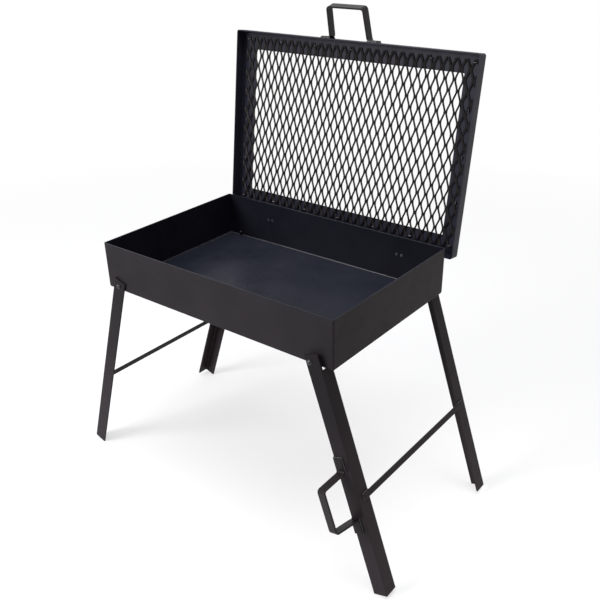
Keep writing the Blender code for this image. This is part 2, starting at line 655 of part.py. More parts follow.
def build_lid_stop(side, centre):
    """A plate on edge on the rear wall. The open lid's rear skirt lies along its top edge."""
    towards_middle = math.copysign(STOP_FROM_HINGE, -centre)
    skirt_face = LID_WIDTH / 2 + GAP
    seat_near = when_open(skirt_face, SKIRT_BOTTOM)
    seat_far = when_open(skirt_face, LID_TOP - LID_SHEET - STOP_SHORT_OF_PLATE)
    foot = REAR_WALL + GAP
    outline = [(foot, seat_near[1] - STOP_HEIGHT), (foot, seat_near[1]), seat_near, seat_far,
               (seat_far[0], seat_far[1] - STOP_NOSE)]
    mesh = side_plate(side + "_lid_stop", [outline], STOP_THICKNESS)
    add_part(side + "_lid_stop", mesh, base, (centre + towards_middle, 0, 0), TRAY_PAINT)


def build_hinge(side, centre):
    """One hinge with its rivets and the lid stop beside it."""
    build_tray_leaf(side, centre)
    build_lid_leaf(side, centre)
    build_hinge_pin(side, centre)
    build_lid_stop(side, centre)
    for number, offset in ((1, -RIVET_SPACING / 2), (2, RIVET_SPACING / 2)):
        tray_place = (centre + offset, REAR_WALL + GAP + HINGE_LEAF, HINGE_Z - TRAY_RIVET_DROP)
        tray_grip = HINGE_LEAF + GAP + TRAY_SHEET
        build_rivet(side + "_tray_rivet_" + str(number), base, tray_place, tray_grip)
        lid_place = (centre + offset, LID_LEAF_OUTER, HINGE_Z + LID_RIVET_RISE)
        lid_grip = HINGE_LEAF + GAP + LID_SHEET
        build_rivet(side + "_lid_rivet_" + str(number), lid_axis, lid_place, lid_grip)


def build_leg_pair(side_name, carrier, side, pivot_to_face, standoff, brace_drop):
    """Two legs, their brace and their pivots."""
    for end_name, end in (("front", -1), ("rear", 1)):
        build_leg(end_name + "_" + side_name + "_leg", carrier, side, end, pivot_to_face, standoff,
                  carrier.location.z)
        build_pivot(end_name, side_name, carrier, end, standoff)
    build_brace(side_name + "_brace", carrier, side, brace_drop, pivot_to_face, standoff)


def stand_on_ground():
    """Moves the whole grill so that the origin is on the ground under the middle of its outer box."""
    view = bpy.context.evaluated_depsgraph_get()
    corners = []
    for part in parts.objects:
        if part.type == "MESH":
            shaped = part.evaluated_get(view)
            corners += [shaped.matrix_world @ vertex.co for vertex in shaped.to_mesh().vertices]
            shaped.to_mesh_clear()
    low = Vector([min(corner[axis] for corner in corners) for axis in range(3)])
    high = Vector([max(corner[axis] for corner in corners) for axis in range(3)])
    base.location = (-(low.x + high.x) / 2, -(low.y + high.y) / 2, -low.z)


for item in list(bpy.data.objects):
    bpy.data.objects.remove(item)
parts = make_collection("portable_folding_grill")
cutters = make_collection("cutters")
base = make_empty("grill_origin", (0, 0, 0))
lid_axis = make_empty("lid_axis", (0, HINGE_Y, HINGE_Z), base, (-LID_OPEN_ANGLE, 0, 0))
left_axis = make_empty("left_leg_axis", (LEFT_PIVOT_X, 0, LEFT_PIVOT_Z), base, (0, LEG_SPLAY, 0))
right_axis = make_empty("right_leg_axis", (RIGHT_PIVOT_X, 0, RIGHT_PIVOT_Z), base, (0, -LEG_SPLAY, 0))
build_tray()
build_lid_frame()
build_lid_mesh()
build_lid_handle()
build_leg_pair("left", left_axis, -1, PIVOT_TO_LEFT_FACE, LEFT_LEG_STANDOFF, LEFT_BRACE_DROP)
build_leg_pair("right", right_axis, 1, PIVOT_TO_RIGHT_FACE, RIGHT_LEG_STANDOFF, RIGHT_BRACE_DROP)
build_leg_handle()
for hinge_side, hinge_centre in hinge_centres().items():
    build_hinge(hinge_side, hinge_centre)
stand_on_ground()
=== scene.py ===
"""Looks of the portable folding grill, dressed over its solids. Sizes are in metres."""
import json
import math

import bmesh
import bpy
from mathutils import Matrix, Vector


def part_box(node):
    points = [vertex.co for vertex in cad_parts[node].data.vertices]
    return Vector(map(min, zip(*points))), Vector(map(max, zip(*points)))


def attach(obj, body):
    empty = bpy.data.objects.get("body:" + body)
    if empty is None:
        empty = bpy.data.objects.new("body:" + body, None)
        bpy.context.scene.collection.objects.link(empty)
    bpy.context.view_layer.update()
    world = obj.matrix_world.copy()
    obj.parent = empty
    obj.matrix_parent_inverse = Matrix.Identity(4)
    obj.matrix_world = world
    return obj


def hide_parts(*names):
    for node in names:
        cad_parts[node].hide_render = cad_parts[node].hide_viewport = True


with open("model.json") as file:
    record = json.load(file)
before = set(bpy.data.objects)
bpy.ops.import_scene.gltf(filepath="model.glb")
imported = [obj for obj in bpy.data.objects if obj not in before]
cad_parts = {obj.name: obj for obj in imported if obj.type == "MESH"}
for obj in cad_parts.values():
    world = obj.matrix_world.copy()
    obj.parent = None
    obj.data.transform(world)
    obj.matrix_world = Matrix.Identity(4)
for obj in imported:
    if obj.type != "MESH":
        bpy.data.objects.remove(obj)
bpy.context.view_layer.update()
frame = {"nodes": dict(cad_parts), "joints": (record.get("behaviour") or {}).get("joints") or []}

MM = 0.001
WHITE = (1.0, 1.0, 1.0, 1.0)

# The photograph's view: where the camera stands, where it looks and which way its top points
PICTURE_SIZE = 600
FOCAL_LENGTH = 776.55
PICTURE_CENTRE = (304.23, 327.01)
SENSOR = 36
CAMERA_PLACE = (0.789276, -0.933419, 0.95707)
CAMERA_RIGHT = (0.79229383, 0.61000395, -0.0128708)
CAMERA_UP = (-0.2812202, 0.38381634, 0.87954546)
CAMERA_AHEAD = (-0.54146623, 0.69323891, -0.47564075)

# Expanded metal: diamond cells, the strand's section, its slant and the length of a joint between strands
CELL_ACROSS = 16.69 * MM
CELL_ALONG = 34.55 * MM
STRAND_WIDTH = 3.2 * MM
STRAND_THICKNESS = 1.3 * MM
STRAND_SLANT = math.radians(22)
JOINT_LENGTH = 4.5 * MM
STRAND_STEPS = 3
PANEL_COLUMNS = 31
PANEL_ROWS = 21
PANEL_INSET_REAR = 1.0 * MM
CUT_WITHIN = 1e-7
# How much of a strand's sideways run is straight, the rest being eased at both ends
STRAIGHT_SHARE = 0.7

# How far the sheet's and the bars' edges are rounded
SHEET_EDGE = 0.4 * MM
BAR_EDGE = 0.45 * MM
LEAF_EDGE = 0.2 * MM
EDGE_STEPS = 2
SHARP_FROM = math.radians(38)
WELD_DISTANCE = 0.002 * MM
FLAT_WITHIN = math.radians(0.4)
TRAY_WALL = 2 * MM
WALL_TURN = 0.5
FILLET_RADIUS = 1.8 * MM
FILLET_STEPS = 5
INSIDE_REACH = 1 * MM

# Weld beads: radius, spacing, how far a bead's middle is sunk, and how much the beads differ
BEAD_RADIUS = 1.3 * MM
BEAD_SPACING = 1.1 * MM
BEAD_SINK = 0.3 * MM
TACK_RADIUS = 1.7 * MM
TACK_LENGTH = 3 * MM
TACK_INSET = 5 * MM
TACK_STEPS_ACROSS = 6
TACK_STEPS_ALONG = 4
BEAD_SEGMENTS = 8
BEAD_RINGS = 5
STRAY = 0.25
WELD_SEED = 7
BRACE_LAP = 14 * MM
LID_FOOT = 18 * MM
LEG_FOOT = 25 * MM

# Fasteners: sides of a turned piece, rings down a dome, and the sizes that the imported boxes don't give
TURNED_SIDES = 40
DOME_RINGS = 8
DOME_SHARE = 0.74
HEAD_RIM = 0.7 * MM
RIM_SHARE = 0.4
RIM_ROUNDING = 0.4
CORNER_SHARE = 0.3
TAIL_ROUNDING = 0.3
NUT_ROUND_STEPS = 2
NUT_ROUND_SHAPE = 0.6
EDGE_ROUND = 0.25 * MM
THREAD_PITCH = 0.8 * MM
THREAD_DEPTH = 0.3 * MM
BOLT_HEAD_HEIGHT = 2.75 * MM
HANDLE_FOOT_HEIGHT = 3.2 * MM
BOLT_RADIUS = 2 * MM
BOLT_BARE_THREAD = 0.2 * MM
NUT_WIDTH = 7 * MM
RIVET_HEAD_HEIGHT = 1.2 * MM
RIVET_RADIUS = 1.6 * MM
PIN_HEAD_HEIGHT = 0.8 * MM
PIN_RADIUS = 1.4 * MM

# How high the painted light bounced from the floor reaches on the legs, which it paints paler toward the
# bottom
BOUNCE_LOW = 60 * MM
BOUNCE_HIGH = 330 * MM

# Paint: sizes of its clouds, scratches, smudges, waves and orange peel, and how far its gloss differs
CLOUD_SIZE = 90 * MM
SCRATCH_SIZE = 14 * MM
SCRATCH_STRETCH = (0.12, 2.2, 2.2)
SCRATCH_ROUGHNESS = 0.65
SCRATCH_FROM = (0.62, 0.78)
SCRATCH_PALER = 2.6
SMUDGE_SIZE = 22 * MM
WAVE_SIZE = 120 * MM
PEEL_SIZE = 1.6 * MM
PEEL_DEPTH = 0.05 * MM
PEEL_STRENGTH = 0.35
PAINT_GLOSS = 0.06

# Paint along edges, painted pale as a highlight line and thinned in patches, and the steel of bolts and
# hinges: sizes of their rubbed patches and how much paler and glossier these are
EDGE_PATCH = 5 * MM
EDGE_FROM = (0.56, 0.70)
EDGE_PALER = 2.4
EDGE_GLOSS = 0.08
EDGE_PEEL_DEPTH = 0.03 * MM
EDGE_PEEL_STRENGTH = 0.3
STEEL_PATCH = 2.5 * MM
STEEL_FROM = (0.5, 0.72)
STEEL_PALER = 3
STEEL_GLOSS = 0.1
STEEL_DEPTH = 0.04 * MM
STEEL_STRENGTH = 0.5
STEEL_METAL = 0.6

# Legs: each pair's joint by side, and the splay at which they stand
LEG_JOINTS = {-1: "left_legs_fold", 1: "right_legs_fold"}
LEG_SPLAY = math.radians(18.9)

# The studio: how bright the surround is on surfaces and to the camera, and how much of its own white the
# floor shows close by
SURROUND_LEVEL = 0.3
SEEN_LEVEL = 1.0
FLOOR_SHADE = 0.86
FLOOR_OWN_WHITE = 0.62
FLOOR_FADE = (0.55, 2.2)
FLOOR_RADIUS = 30
FLOOR_SIDES = 96
FLOOR_DROP = 0.2 * MM
FLOOR_GRAIN = 3 * MM
FLOOR_GRAIN_DEPTH = 0.02 * MM
FLOOR_GRAIN_STRENGTH = 0.2
FLOOR_MOTTLE = 0.01
FLOOR_ROUGHNESS = 0.9
FLOOR_GLOSS = 0.1
CLIP_NEAR = 0.01
CLIP_FAR = 100
# Each lamp's name, place, what it faces, size, power in watts and colour
LAMPS = [
    ("key", (-1.2, -2.2, 1.6), (0, 0, 0.4), 1.2, 88, (0.98, 0.96, 1.0)),
    ("side", (2.4, 0.3, 0.7), (0, 0, 0.4), 1.2, 6, (1.0, 0.42, 0.22)),
    ("top", (0.3, -0.2, 2.6), (0, 0, 0.4), 1.6, 60, (0.92, 0.96, 1.0)),
]


def hinge(name):
    """A joint's axis: its point, its direction and the two ends of its range."""
    joint = next(item for item in frame["joints"] if item["name"] == name)
    return Vector(joint["pos_m"]), Vector(joint["axis"]), [math.radians(end) for end in joint["range_deg"]]


def open_lid():
    """Carries the shut lid to where it stands open."""
    point, axis, (_, travel) = hinge("lid_hinge")
    return Matrix.Translation(point) @ Matrix.Rotation(-travel, 4, axis) @ Matrix.Translation(-point)


# Finishes


def new_finish(name):
    """An empty node finish: its material, its node tree, its shader and the object coordinates."""
    finish = bpy.data.materials.new(name)
    finish.use_nodes = True
    tree = finish.node_tree
    place = tree.nodes.new("ShaderNodeTexCoord").outputs["Object"]
    return finish, tree, tree.nodes["Principled BSDF"], place


def noise(tree, place, size, detail=3.0, roughness=0.5, stretch=(1, 1, 1)):
    """Noise whose patches are about the given size, as a value."""
    if stretch != (1, 1, 1):
        mapping = tree.nodes.new("ShaderNodeMapping")
        mapping.inputs["Scale"].default_value = stretch
        tree.links.new(place, mapping.inputs["Vector"])
        place = mapping.outputs["Vector"]
    texture = tree.nodes.new("ShaderNodeTexNoise")
    texture.inputs["Scale"].default_value = 1 / size
    texture.inputs["Detail"].default_value = detail
    texture.inputs["Roughness"].default_value = roughness
    tree.links.new(place, texture.inputs["Vector"])
    return texture.outputs["Fac"]


def spread(tree, value, low, high, from_low=0.3, from_high=0.7):
    """A value stretched from one range to another."""
    node = tree.nodes.new("ShaderNodeMapRange")
    node.inputs["From Min"].default_value = from_low
    node.inputs["From Max"].default_value = from_high
    node.inputs["To Min"].default_value = low
    node.inputs["To Max"].default_value = high
    tree.links.new(value, node.inputs["Value"])
    return node.outputs["Result"]


def blend_colours(tree, share, first, second):
    """A mix of two colours, which may be outputs or plain numbers."""
    mix = tree.nodes.new("ShaderNodeMix")
    mix.data_type = "RGBA"
    tree.links.new(share, mix.inputs["Factor"])
    for socket, colour in ((mix.inputs[6], first), (mix.inputs[7], second)):
        if isinstance(colour, bpy.types.NodeSocket):
            tree.links.new(colour, socket)
        else:
            socket.default_value = (*colour, 1)
    return mix.outputs[2]


def bump(tree, height, depth, strength=1.0, under=None):
    """A bump from a height value, over another bump if one is given."""
    node = tree.nodes.new("ShaderNodeBump")
    node.inputs["Strength"].default_value = strength
    node.inputs["Distance"].default_value = depth
    tree.links.new(height, node.inputs["Height"])
    if under is not None:
        tree.links.new(under, node.inputs["Normal"])
    return node.outputs["Normal"]


def satin_paint(name, deep, pale, roughness, specular=0.5, waviness=0.0, scuffs=0.0, floor_bounce_colour=None):
    """Satin black paint: faint clouds, a fine orange peel, smudges in its gloss, light scuffs and, where
    given, painted light bounced from the floor that makes it paler toward the bottom.
    """
    finish, tree, shader, place = new_finish(name)
    clouds = noise(tree, place, CLOUD_SIZE, detail=4)
    colour = blend_colours(tree, spread(tree, clouds, 0, 1), deep, pale)
    # Painted light: paler toward the bottom, standing in for light bounced up from the floor
    if floor_bounce_colour:
        height = tree.nodes.new("ShaderNodeSeparateXYZ")
        tree.links.new(place, height.inputs[0])
        share = spread(tree, height.outputs["Z"], 1, 0, from_low=BOUNCE_LOW, from_high=BOUNCE_HIGH)
        colour = blend_colours(tree, share, colour, floor_bounce_colour)
    if scuffs:
        scratch = noise(tree, place, SCRATCH_SIZE, detail=6, roughness=SCRATCH_ROUGHNESS,
                        stretch=SCRATCH_STRETCH)
        share = spread(tree, scratch, 0, scuffs, *SCRATCH_FROM)
        colour = blend_colours(tree, share, colour, tuple(SCRATCH_PALER * part for part in pale))
    tree.links.new(colour, shader.inputs["Base Color"])
    smudges = noise(tree, place, SMUDGE_SIZE, detail=5, roughness=0.6)
    gloss = spread(tree, smudges, roughness - PAINT_GLOSS, roughness + PAINT_GLOSS)
    tree.links.new(gloss, shader.inputs["Roughness"])
    normal = None
    if waviness:
        normal = bump(tree, noise(tree, place, WAVE_SIZE, detail=1), waviness)
    peel = noise(tree, place, PEEL_SIZE, detail=2)
    normal = bump(tree, peel, PEEL_DEPTH, strength=PEEL_STRENGTH, under=normal)
    tree.links.new(normal, shader.inputs["Normal"])
    shader.inputs["Specular IOR Level"].default_value = specular
    return finish


def highlit_worn_edge(name, colour, roughness):
    """Paint along an edge, painted paler as a highlight line, with specks of rubbed steel where it has
    thinned.
    """
    finish, tree, shader, place = new_finish(name)
    rubbed = noise(tree, place, EDGE_PATCH, detail=6, roughness=0.7)
    share = spread(tree, rubbed, 0, 1, *EDGE_FROM)
    mixed = blend_colours(tree, share, colour, tuple(min(1, EDGE_PALER * part) for part in colour))
    tree.links.new(mixed, shader.inputs["Base Color"])
    gloss = spread(tree, rubbed, roughness + EDGE_GLOSS, roughness - EDGE_GLOSS)
    tree.links.new(gloss, shader.inputs["Roughness"])
    peel = noise(tree, place, PEEL_SIZE, detail=2)
    normal = bump(tree, peel, EDGE_PEEL_DEPTH, strength=EDGE_PEEL_STRENGTH)
    tree.links.new(normal, shader.inputs["Normal"])
    return finish


def dark_steel(name, colour, roughness):
    """Blackened steel of bolts and hinges, with brighter rubbed patches."""
    finish, tree, shader, place = new_finish(name)
    rubbed = noise(tree, place, STEEL_PATCH, detail=4, roughness=0.6)
    share = spread(tree, rubbed, 0, 1, *STEEL_FROM)
    mixed = blend_colours(tree, share, colour, tuple(STEEL_PALER * part for part in colour))
    tree.links.new(mixed, shader.inputs["Base Color"])
    gloss = spread(tree, rubbed, roughness + STEEL_GLOSS, roughness - STEEL_GLOSS)
    tree.links.new(gloss, shader.inputs["Roughness"])
    normal = bump(tree, rubbed, STEEL_DEPTH, strength=STEEL_STRENGTH)
    tree.links.new(normal, shader.inputs["Normal"])
    shader.inputs["Metallic"].default_value = STEEL_METAL
    return finish


TRAY_PAINT = satin_paint("tray_paint", (0.0145, 0.0125, 0.0145), (0.0195, 0.017, 0.0195), 0.42,
                         specular=0.05, waviness=0.5 * MM, scuffs=0.2)
# Painted light and shade: bluish lit and darker shaded copies of the tray's paint, for its upward floor and
# its inner walls
FLOOR_LIGHT_PAINT = satin_paint("tray_floor_painted_light", (0.009, 0.010, 0.016), (0.014, 0.015, 0.022), 0.36,
                           specular=0.13, waviness=0.7 * MM, scuffs=0.12)
WALL_SHADE_PAINT = satin_paint("tray_inner_wall_painted_shade", (0.0045, 0.0045, 0.0075), (0.007, 0.007, 0.011), 0.38,
                         specular=0.07, waviness=0.5 * MM, scuffs=0.12)
LID_PAINT = satin_paint("lid_paint", (0.010, 0.010, 0.017), (0.016, 0.016, 0.024), 0.38, specular=0.08)
MESH_PAINT = satin_paint("mesh_paint", (0.006, 0.0045, 0.005), (0.010, 0.0075, 0.008), 0.30, specular=0.16)
# The legs' paler colour low down is painted light bounced up from the floor
LEG_PAINT = satin_paint("leg_paint", (0.0085, 0.007, 0.0085), (0.0125, 0.0105, 0.012), 0.38,
                        specular=0.06, scuffs=0.3, floor_bounce_colour=(0.021, 0.0165, 0.0185))
HANDLE_PAINT = satin_paint("handle_paint", (0.007, 0.0055, 0.0055), (0.012, 0.0095, 0.0095), 0.30,
                           specular=0.13)
WELD_PAINT = satin_paint("weld_paint", (0.012, 0.011, 0.012), (0.020, 0.019, 0.021), 0.26, specular=0.5)
BEND_PAINT = satin_paint("bend_paint", (0.010, 0.010, 0.013), (0.017, 0.017, 0.021), 0.34, specular=0.3)
# Painted highlight: the edge paint is several times paler than the sheet and bar paint, to show a line of
# light along the rounded edges; the specks of rubbed steel are wear
SHEET_EDGE_HIGHLIGHT = highlit_worn_edge("sheet_edge_highlight_paint", (0.032, 0.026, 0.031), 0.34)
BAR_EDGE_HIGHLIGHT = highlit_worn_edge("bar_edge_highlight_paint", (0.045, 0.040, 0.043), 0.32)
BOLT_STEEL = dark_steel("bolt_finish", (0.024, 0.024, 0.027), 0.20)
HINGE_STEEL = dark_steel("hinge_finish", (0.040, 0.040, 0.044), 0.32)


# Shaping


def piece_from(name, mesh, finishes):
    """A finished piece at the origin."""
    mesh.name = name
    piece = bpy.data.objects.new(name, mesh)
    bpy.context.scene.collection.objects.link(piece)
    mesh.materials.clear()
    for finish in finishes:
        mesh.materials.append(finish)
    return piece


def carry(piece, body, replaced=()):
    """The piece rides a body and stands for the given nodes, which are hidden."""
    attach(piece, body)
    if replaced:
        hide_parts(*replaced)
    return piece


def merged_copy(node):
    """A welded copy of a node, with its flat faces whole again."""
    bm = bmesh.new()
    bm.from_mesh(frame["nodes"][node].data)
    bmesh.ops.remove_doubles(bm, verts=bm.verts, dist=WELD_DISTANCE)
    bmesh.ops.dissolve_limit(bm, angle_limit=FLAT_WITHIN, verts=bm.verts, edges=bm.edges)
    mesh = bpy.data.meshes.new(node)
    bm.to_mesh(mesh)
    bm.free()
    return mesh


def plain_result(helper, name, finishes):
    """The helper's evaluated mesh as a finished piece. The helper and its modifiers are removed."""
    view = bpy.context.evaluated_depsgraph_get()
    mesh = bpy.data.meshes.new_from_object(helper.evaluated_get(view))
    bpy.data.objects.remove(helper)
    return piece_from(name, mesh, finishes)


def soften(name, node, width, finishes):
    """A copy of a node with its sharp edges rounded, and the rounding in the second finish, which on painted
    parts is the edge paint with its painted highlight.
    """
    helper = piece_from(name + "_helper", merged_copy(node), finishes)
    helper.data.shade_smooth()
    bevel = helper.modifiers.new("edges", "BEVEL")
    bevel.width = width
    bevel.segments = EDGE_STEPS
    bevel.limit_method = "ANGLE"
    bevel.angle_limit = SHARP_FROM
    bevel.material = 1
    bevel.miter_outer = "MITER_ARC"
    normals = helper.modifiers.new("normals", "WEIGHTED_NORMAL")
    normals.mode = "FACE_AREA"
    normals.weight = 100
    return plain_result(helper, name, finishes)


# Repeats


def new_tree(name, inputs):
    """A geometry tree with a mesh in, a mesh out and named inputs, with its two ends and the inputs' ids."""
    tree = bpy.data.node_groups.new(name, "GeometryNodeTree")
    tree.interface.new_socket("Mesh", in_out="INPUT", socket_type="NodeSocketGeometry")
    tree.interface.new_socket("Mesh", in_out="OUTPUT", socket_type="NodeSocketGeometry")
    identifiers = {}
    for title, kind in inputs:
        socket = tree.interface.new_socket(title, in_out="INPUT", socket_type="NodeSocket" + kind)
        identifiers[title] = socket.identifier
    return tree, tree.nodes.new("NodeGroupInput"), tree.nodes.new("NodeGroupOutput"), identifiers


def join_up(tree, kind, links=(), values=(), **settings):
    """A node in the tree, with its settings, its incoming links and its plain values."""
    node = tree.nodes.new(kind)
    for key, value in settings.items():
        setattr(node, key, value)
    for socket, source in links:
        tree.links.new(source, node.inputs[socket])
    for socket, value in values:
        node.inputs[socket].default_value = value
    return node


def end_tree(tree, source, finish, out):
    """Closes a tree with Realize Instances and Set Material."""
    real = join_up(tree, "GeometryNodeRealizeInstances", [(0, source)])
    painted = join_up(tree, "GeometryNodeSetMaterial", [("Geometry", real.outputs[0]), ("Material", finish)])
    tree.links.new(painted.outputs[0], out.inputs[0])


def run_tree(tree, identifiers, mesh, values, name):
    """The tree's plain result on a mesh, with its inputs set before it is first worked out."""
    helper = bpy.data.objects.new(name + "_helper", mesh)
    modifier = helper.modifiers.new(tree.name, "NODES")
    modifier.node_group = tree
    for title, value in values.items():
        modifier[identifiers[title]] = value
    bpy.context.scene.collection.objects.link(helper)
    result = plain_result(helper, name, [])
    result.data.materials.append(values["Finish"])
    return result


def staggered_lattice():
    """A tree that sets its mesh on every point of a staggered lattice and welds the copies together."""
    tree, start, out, ids = new_tree("staggered_lattice", [
        ("Columns", "Int"), ("Rows", "Int"), ("Cell across", "Float"), ("Cell along", "Float"),
        ("Weld distance", "Float"), ("Finish", "Material")])
    columns, rows = start.outputs["Columns"], start.outputs["Rows"]
    across, along = start.outputs["Cell across"], start.outputs["Cell along"]

    def calculate(operation, first, second):
        """A sum of two values, each an output or a plain number."""
        node = join_up(tree, "ShaderNodeMath", operation=operation)
        for socket, value in zip(node.inputs, (first, second)):
            if isinstance(value, bpy.types.NodeSocket):
                tree.links.new(value, socket)
            else:
                socket.default_value = value
        return node.outputs[0]

    width = calculate("MULTIPLY", calculate("SUBTRACT", columns, 1), across)
    step_along = calculate("MULTIPLY", along, 0.5)
    height = calculate("MULTIPLY", calculate("SUBTRACT", rows, 1), step_along)
    grid = join_up(tree, "GeometryNodeMeshGrid", [("Size X", width), ("Size Y", height),
                                                  ("Vertices X", columns), ("Vertices Y", rows)])
    index = tree.nodes.new("GeometryNodeInputIndex").outputs[0]
    odd_row = calculate("MODULO", calculate("MODULO", index, rows), 2)
    shift = calculate("MULTIPLY", calculate("SUBTRACT", calculate("MULTIPLY", odd_row, 0.5), 0.5), across)
    offset = join_up(tree, "ShaderNodeCombineXYZ", [("X", shift)])
    points = join_up(tree, "GeometryNodeSetPosition", [("Geometry", grid.outputs["Mesh"]),
                                                       ("Offset", offset.outputs[0])])
    copies = join_up(tree, "GeometryNodeInstanceOnPoints", [("Points", points.outputs[0]),
                                                            ("Instance", start.outputs["Mesh"])])
    real = join_up(tree, "GeometryNodeRealizeInstances", [(0, copies.outputs[0])])
    welded = join_up(tree, "GeometryNodeMergeByDistance", [("Geometry", real.outputs[0]),
                                                           ("Distance", start.outputs["Weld distance"])])
    end_tree(tree, welded.outputs[0], start.outputs["Finish"], out)
    return tree, ids


def strand_unit():
    """One joint of the expanded metal and the two strands that leave it, with open ends."""
    slant = Vector((math.cos(STRAND_SLANT), 0, math.sin(STRAND_SLANT))) * STRAND_WIDTH
    rise = Vector((-math.sin(STRAND_SLANT), 0, math.cos(STRAND_SLANT))) * STRAND_THICKNESS / 2
    half_joint = Vector((0, JOINT_LENGTH / 2, 0))
    bm = bmesh.new()

    def section(left, right):
        """The four corners of a strand's section between two points of its middle plane."""
        return [bm.verts.new(point) for point in (left - rise, right - rise, right + rise, left + rise)]

    def wall(first, second, sides):
        """Faces between two sections, on the given sides."""
        for side in sides:
            following = (side + 1) % 4
            bm.faces.new((first[side], first[following], second[following], second[side]))

    halves = ((-slant, Vector()), (Vector(), slant))
    for (left, right), open_side in zip(halves, (1, 3)):
        first = section(left - half_joint, right - half_joint)
        second = section(left + half_joint, right + half_joint)
        wall(first, second, [side for side in range(4) if side != open_side])
    for direction, (left, right) in ((-1, halves[0]), (1, halves[1])):
        target = Vector((direction * CELL_ACROSS / 2, CELL_ALONG / 2, 0)) - half_joint
        goal = (target, target + slant) if direction < 0 else (target - slant, target)
        before = section(left + half_joint, right + half_joint)
        for step in range(1, STRAND_STEPS + 1):
            along = step / STRAND_STEPS
            smooth = along * along * (3 - 2 * along)
            eased = STRAIGHT_SHARE * along + (1 - STRAIGHT_SHARE) * smooth
            ends = []
            for first, last in zip((left + half_joint, right + half_joint), goal):
                point = first.lerp(last, eased)
                point.y = first.y + (last.y - first.y) * along
                ends.append(point)
            after = section(*ends)
            wall(before, after, range(4))
            before = after
    bmesh.ops.remove_doubles(bm, verts=bm.verts, dist=WELD_DISTANCE)
    mesh = bpy.data.meshes.new("strand_unit")
    bm.to_mesh(mesh)
    bm.free()
    return mesh


def trim(mesh, low, high):
    """Cuts a mesh off at a box's sides along X and Y, closes the cut ends and turns its faces outwards."""
    bm = bmesh.new()
    bm.from_mesh(mesh)
    for axis, bound, sign in ((0, low, -1), (0, high, 1), (1, low, -1), (1, high, 1)):
        normal = Vector((0, 0, 0))
        normal[axis] = sign
        bmesh.ops.bisect_plane(bm, geom=bm.verts[:] + bm.edges[:] + bm.faces[:], dist=CUT_WITHIN,
                               plane_co=bound, plane_no=normal, clear_outer=True)
    rims = [edge for edge in bm.edges if edge.is_boundary]
    bmesh.ops.holes_fill(bm, edges=rims, sides=0)
    bmesh.ops.recalc_face_normals(bm, faces=bm.faces)
    bm.to_mesh(mesh)
    bm.free()


def build_expanded_metal():
    """The panel of raised expanded metal under the lid's plate, with every strand cut off at its edge."""
    tray_low, tray_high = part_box("tray")
    middle = Vector(((tray_low.x + tray_high.x) / 2, (tray_low.y + tray_high.y) / 2, 0))
    opened = open_lid()
    low, high = node_box("lid_mesh", opened.inverted())
    tree, ids = staggered_lattice()
    panel = run_tree(tree, ids, strand_unit(), {
        "Columns": PANEL_COLUMNS, "Rows": PANEL_ROWS, "Cell across": CELL_ACROSS, "Cell along": CELL_ALONG,
        "Weld distance": WELD_DISTANCE, "Finish": MESH_PAINT}, "expanded_metal")
    reach = STRAND_WIDTH * math.sin(STRAND_SLANT) + STRAND_THICKNESS / 2 * math.cos(STRAND_SLANT)
    panel.data.transform(Matrix.Translation((middle.x, middle.y, high.z - reach)))
    trim(panel.data, low, high - Vector((0, PANEL_INSET_REAR, 0)))
    panel.data.transform(opened)
    carry(panel, "lid", ["lid_mesh"])


def ring_mesh(name, profile, sides=TURNED_SIDES, flat=False):
    """A solid of revolution about Z from radius and height pairs. A profile off the axis makes a ring."""
    bm = bmesh.new()
    rings = []
    for radius, height in profile:
        if radius == 0:
            rings.append([bm.verts.new((0, 0, height))] * sides)
            continue
        angles = [2 * math.pi * side / sides for side in range(sides)]
        rings.append([bm.verts.new((radius * math.cos(angle), radius * math.sin(angle), height))
                      for angle in angles])
    if profile[0][0] > 0:
        rings.append(rings[0])
    for lower, upper in zip(rings, rings[1:]):
        for side in range(sides):
            following = (side + 1) % sides
            loop = [lower[side], lower[following], upper[following], upper[side]]
            bm.faces.new([vert for index, vert in enumerate(loop) if vert not in loop[:index]])
    bmesh.ops.recalc_face_normals(bm, faces=bm.faces)
    for face in bm.faces:
        face.smooth = not flat
    mesh = bpy.data.meshes.new(name)
    bm.to_mesh(mesh)
    bm.free()
    if not flat:
        mesh.set_sharp_from_angle(angle=SHARP_FROM)
    return mesh


def domed_top(radius, height):
    """A low dome on a thin rim, from the middle of its top down to its rim's foot at height 0."""
    rim = min(HEAD_RIM, RIM_SHARE * height)
    profile = [(0, height)]
    for step in range(1, DOME_RINGS + 1):
        angle = math.pi / 2 * step / DOME_RINGS
        profile.append((DOME_SHARE * radius * math.sin(angle), rim + (height - rim) * math.cos(angle)))
    rounding = RIM_ROUNDING * rim
    corner = CORNER_SHARE * rounding
    return profile + [(radius - rounding, rim), (radius - corner, rim - corner), (radius, rim - rounding),
                      (radius, 0)]


def bolt_profile(head_radius, head_height, radius, length, thread):
    """A bolt from the top of its dome down to its bevelled tip, with thread grooves along its end."""
    profile = domed_top(head_radius, head_height) + [(radius, 0)]
    tip = head_height - length
    height = tip + thread
    while height > tip + THREAD_PITCH:
        profile.append((radius, height))
        profile.append((radius - THREAD_DEPTH, height - THREAD_PITCH / 2))
        height -= THREAD_PITCH
    return profile + [(radius - THREAD_DEPTH, tip), (0, tip)]


def rivet_profile(head_radius, head_height, radius, length, tail):
    """A rivet from the top of its dome down to its flat tail."""
    tip = head_height - length
    profile = domed_top(head_radius, head_height) + [(radius, 0), (radius, tip + tail)]
    rounding = TAIL_ROUNDING * tail
    return profile + [(head_radius, tip + tail), (head_radius, tip + rounding),
                      (head_radius - rounding, tip), (0, tip)]


